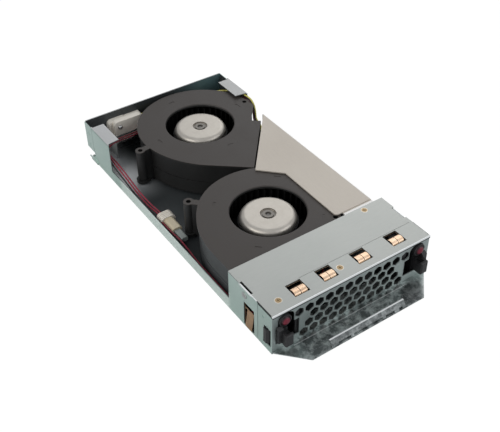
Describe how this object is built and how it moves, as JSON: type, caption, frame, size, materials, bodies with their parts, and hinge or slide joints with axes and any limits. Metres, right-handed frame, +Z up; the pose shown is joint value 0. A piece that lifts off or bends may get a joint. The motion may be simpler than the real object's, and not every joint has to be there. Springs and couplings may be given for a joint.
{
  "type": "server fan module",
  "caption": "Slim sheet-steel drawer with radial blowers in line, a perforated front with corner latches and a handle plate, a covered side duct and a rear plug.",
  "frame": {"origin": "bottom centre of the module's overall box, handle plate included, on the plane of the tray's underside", "axes": "+Y from the front face to the rear connector, +Z up out of the tray, +X to the right seen from the front"},
  "size_m": [0.1524, 0.322, 0.0404],
  "materials": {
    "zinc_steel": "zinc plated, satin",
    "duct_steel": "plain sheet, satin, slightly warm",
    "brass_screw": "yellow-passivated",
    "steel_screw": "plated",
    "copper_alloy": "bare beryllium copper",
    "ivory_plastic": "moulded",
    "tan_plastic": "moulded",
    "grey_plastic": "soft moulding",
    "tinned_contact": "tinned",
    "red_wire": "insulation, slightly glossy",
    "black_wire": "insulation, slightly glossy",
    "yellow_wire": "insulation, slightly glossy",
    "maroon_wire": "insulation, slightly glossy",
    "black_plastic": "moulded, fine grain",
    "latch_plastic": "moulded, satin",
    "maroon_plastic": "smooth",
    "spring_steel": "drawn wire and ground shaft",
    "casing_plastic": "glass-filled moulding",
    "impeller_plastic": "glass-filled moulding",
    "cup_steel": "drawn, plated",
    "magnet": "bonded ferrite",
    "bearing_steel": "ground",
    "stator_steel": "laminated",
    "copper_winding": "enamelled wire",
    "board": "solder mask"
  },
  "bodies": {
    "module": {"tray": "zinc_steel", "rear_panel": "zinc_steel", "front_cap": "zinc_steel", "front_grille": "zinc_steel", "handle_plate": "zinc_steel", "duct_cover": "duct_steel", "rear_connector_bracket": "zinc_steel", "cap_screws": "brass_screw", "side_screws": "steel_screw", "top_contact_strip": "copper_alloy", "left_contact_strip": "copper_alloy", "right_contact_strip": "copper_alloy", "rear_connector_housing": "ivory_plastic", "rear_connector_contacts": "tinned_contact", "rear_connector_screw": "steel_screw", "inline_plug": "ivory_plastic", "inline_socket": "tan_plastic", "socket_boot": "grey_plastic", "harness_wire_red": "red_wire", "harness_wire_second_red": "red_wire", "harness_wire_black": "black_wire", "front_lead_red": "red_wire", "front_lead_black": "black_wire", "rear_lead_yellow": "yellow_wire", "rear_lead_black": "black_wire", "rear_lead_maroon": "maroon_wire", "left_latch_housing": "black_plastic", "left_latch_pin": "steel_screw", "left_latch_spring": "spring_steel", "right_latch_housing": "black_plastic", "right_latch_pin": "steel_screw", "right_latch_spring": "spring_steel", "front_blower_base": "casing_plastic", "front_blower_cover": "casing_plastic", "front_rotor_bearings": "bearing_steel", "front_stator_core": "stator_steel", "front_stator_coils": "copper_winding", "front_motor_board": "board", "front_blower_screws": "steel_screw", "rear_blower_base": "casing_plastic", "rear_blower_cover": "casing_plastic", "rear_rotor_bearings": "bearing_steel", "rear_stator_core": "stator_steel", "rear_stator_coils": "copper_winding", "rear_motor_board": "board", "rear_blower_screws": "steel_screw"},
    "front_rotor": {"front_rotor_cup": "cup_steel", "front_rotor_shaft": "spring_steel", "front_rotor_magnet": "magnet", "front_impeller": "impeller_plastic"},
    "rear_rotor": {"rear_rotor_cup": "cup_steel", "rear_rotor_shaft": "spring_steel", "rear_rotor_magnet": "magnet", "rear_impeller": "impeller_plastic"},
    "left_latch": {"left_latch_lever": "latch_plastic", "left_latch_dome": "maroon_plastic"},
    "right_latch": {"right_latch_lever": "latch_plastic", "right_latch_dome": "maroon_plastic"}
  },
  "joints": [
    {"name": "front_impeller_spin", "type": "hinge", "parent": "module", "child": "front_rotor", "pos_m": [-0.0084, -0.04018, 0.02], "axis": [0, 0, 1], "continuous": true},
    {"name": "rear_impeller_spin", "type": "hinge", "parent": "module", "child": "rear_rotor", "pos_m": [0.01263, 0.09878, 0.02], "axis": [0, 0, 1], "continuous": true},
    {"name": "left_latch_swing", "type": "hinge", "parent": "module", "child": "left_latch", "pos_m": [-0.065, -0.11098, 0.02], "axis": [0, 0, 1], "range_deg": [0, 6], "stiffness_Nm_per_rad": 0.12, "springref_deg": -14.32, "deforming": ["left_latch_spring"]},
    {"name": "right_latch_swing", "type": "hinge", "parent": "module", "child": "right_latch", "pos_m": [0.065, -0.11098, 0.02], "axis": [0, 0, -1], "range_deg": [0, 6], "stiffness_Nm_per_rad": 0.12, "springref_deg": -14.32, "deforming": ["right_latch_spring"]}
  ]
}
